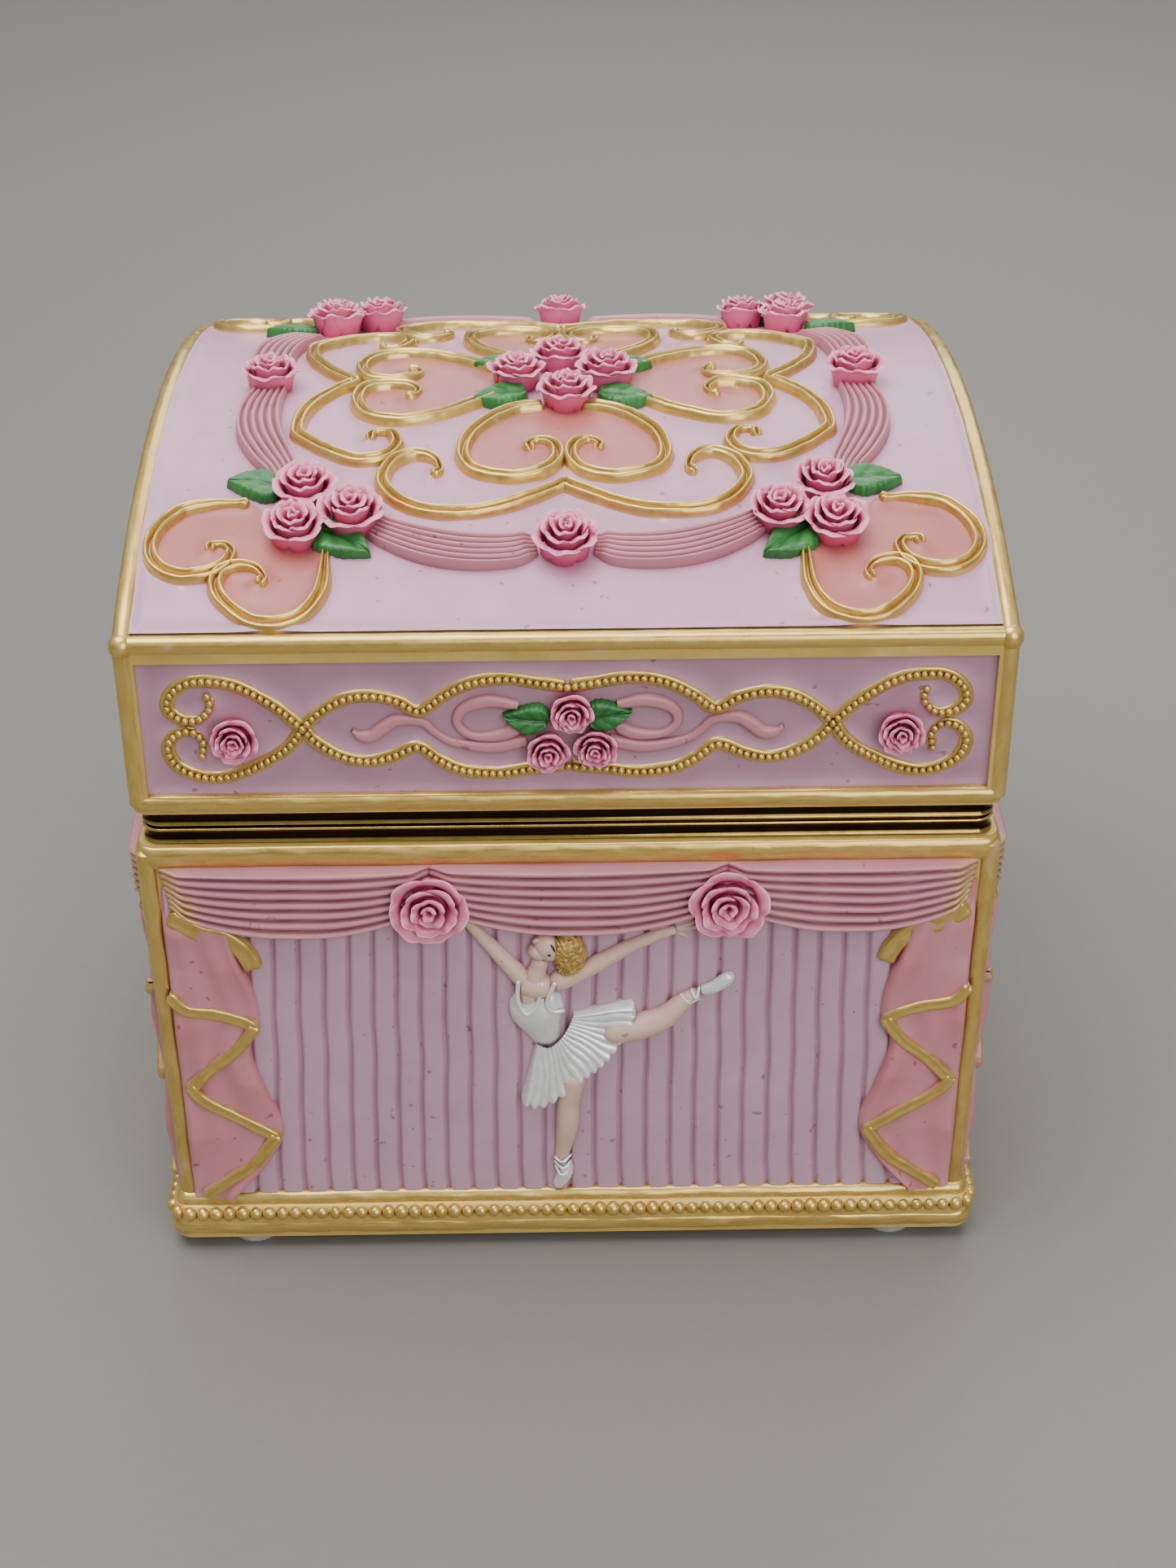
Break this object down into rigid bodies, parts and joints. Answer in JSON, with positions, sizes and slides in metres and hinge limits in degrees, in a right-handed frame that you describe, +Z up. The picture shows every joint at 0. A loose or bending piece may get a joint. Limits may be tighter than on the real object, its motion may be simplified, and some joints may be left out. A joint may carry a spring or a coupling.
{
  "type": "ballerina jewellery box",
  "caption": "Near-cubic cast resin musical jewellery box with relief ornament, a domed hinged lid, a mirror inside, velvet compartments and a turning dancer driven by a wind-up movement.",
  "frame": {"origin": "on the ground under the middle of the box, at the undersides of the feet", "axes": "+Z up, -Y towards the front face, +X to the right seen from the front"},
  "size_m": [0.1614, 0.1574, 0.1516],
  "materials": {
    "resin_body": "hand-painted cast resin, mauve and lilac with gold rims",
    "resin_curtain": "painted cast resin, pleated mauve",
    "resin_swag": "painted cast resin, dusty pink ribbed drapes",
    "resin_heart": "painted cast resin, dusty pink with gold outlines",
    "resin_gold": "gold paint over cast resin",
    "resin_rose": "painted cast resin, rose pink",
    "resin_leaf": "painted cast resin, green",
    "dancer_paint": "painted cast resin, pearl white dress and pale skin",
    "gold_metal": "polished gold-plated metal",
    "velvet": "dusty rose velvet",
    "felt": "pressed felt board",
    "rubber_clear": "clear bumper, soft",
    "steel": "plain steel",
    "movement_brass": "machined brass",
    "movement_zinc": "die-cast zinc, raw",
    "mirror_glass": "silvered flat mirror",
    "nylon": "moulded nylon",
    "tutu_net": "white net"
  },
  "bodies": {
    "case": {"case_shell": "resin_body", "case_bezel": "gold_metal", "case_hinge_leaf": "gold_metal", "hinge_pin": "steel", "base_plate": "felt", "base_screws": "steel", "bumper_feet": "rubber_clear", "case_curtains": "resin_curtain", "case_valances": "resin_swag", "valance_roses": "resin_rose", "dancer_relief": "dancer_paint", "case_lining": "velvet", "deck": "velvet", "left_divider": "velvet", "right_divider": "velvet", "front_divider": "velvet", "stage_ring": "velvet", "spindle_bush": "nylon", "stop_pin_guide": "nylon", "bedplate": "movement_zinc", "bedplate_screws": "steel", "comb": "steel", "comb_screws": "steel", "arbor_bearings": "movement_zinc", "fan_bracket": "movement_zinc"},
    "lid": {"lid_shell": "resin_body", "lid_bezel": "gold_metal", "lid_hinge_leaf": "gold_metal", "lid_board": "velvet", "mirror": "mirror_glass", "mirror_frame": "resin_gold", "lid_hearts": "resin_heart", "lid_swags": "resin_swag", "lid_roses": "resin_rose", "lid_leaves": "resin_leaf", "lid_bands": "resin_gold", "lid_band_roses": "resin_rose"},
    "turntable": {"spring_barrel": "movement_brass", "mainspring": "steel", "spindle": "steel", "turntable": "gold_metal", "dancer": "dancer_paint", "dancer_tutu": "tutu_net"},
    "winding": {"winding_arbor": "steel", "winding_key": "gold_metal"},
    "melody_cylinder": {"pin_cylinder": "movement_brass", "cylinder_arbor": "steel"},
    "governor_wheel": {"governor_wheel": "nylon"},
    "governor_fan": {"governor_fan": "nylon"},
    "stop_pin": {"stop_pin": "steel", "stop_spring": "steel"}
  },
  "joints": [
    {"name": "lid_hinge", "type": "hinge", "parent": "case", "child": "lid", "pos_m": [0, 0.074, 0.09365], "axis": [-1, 0, 0], "range_deg": [0, 98]},
    {"name": "turntable_spin", "type": "hinge", "parent": "case", "child": "turntable", "pos_m": [0, 0.018, 0.0205], "axis": [0, 0, 1], "continuous": true},
    {"name": "key_turn", "type": "hinge", "parent": "case", "child": "winding", "pos_m": [0, 0.018, 0.013], "axis": [0, 0, 1], "continuous": true},
    {"name": "cylinder_spin", "type": "hinge", "parent": "case", "child": "melody_cylinder", "pos_m": [0.0174, 0.018, 0.0261], "axis": [1, 0, 0], "continuous": true},
    {"name": "governor_wheel_spin", "type": "hinge", "parent": "case", "child": "governor_wheel", "pos_m": [0.0402, 0.02564, 0.0261], "axis": [1, 0, 0], "continuous": true},
    {"name": "fan_spin", "type": "hinge", "parent": "case", "child": "governor_fan", "pos_m": [0.0446, 0.03219, 0.0326], "axis": [0, 0, 1], "continuous": true},
    {"name": "stop_pin_slide", "type": "slide", "parent": "case", "child": "stop_pin", "axis": [0, 0, 1], "range_m": [-0.003, 0], "stiffness_N_per_m": 60, "springref_m": 0.002, "deforming": ["stop_spring"]}
  ],
  "couplings": [
    {"joint": "cylinder_spin", "follows": "turntable_spin", "ratio": 4},
    {"joint": "governor_wheel_spin", "follows": "turntable_spin", "ratio": -12},
    {"joint": "fan_spin", "follows": "turntable_spin", "ratio": 240}
  ]
}
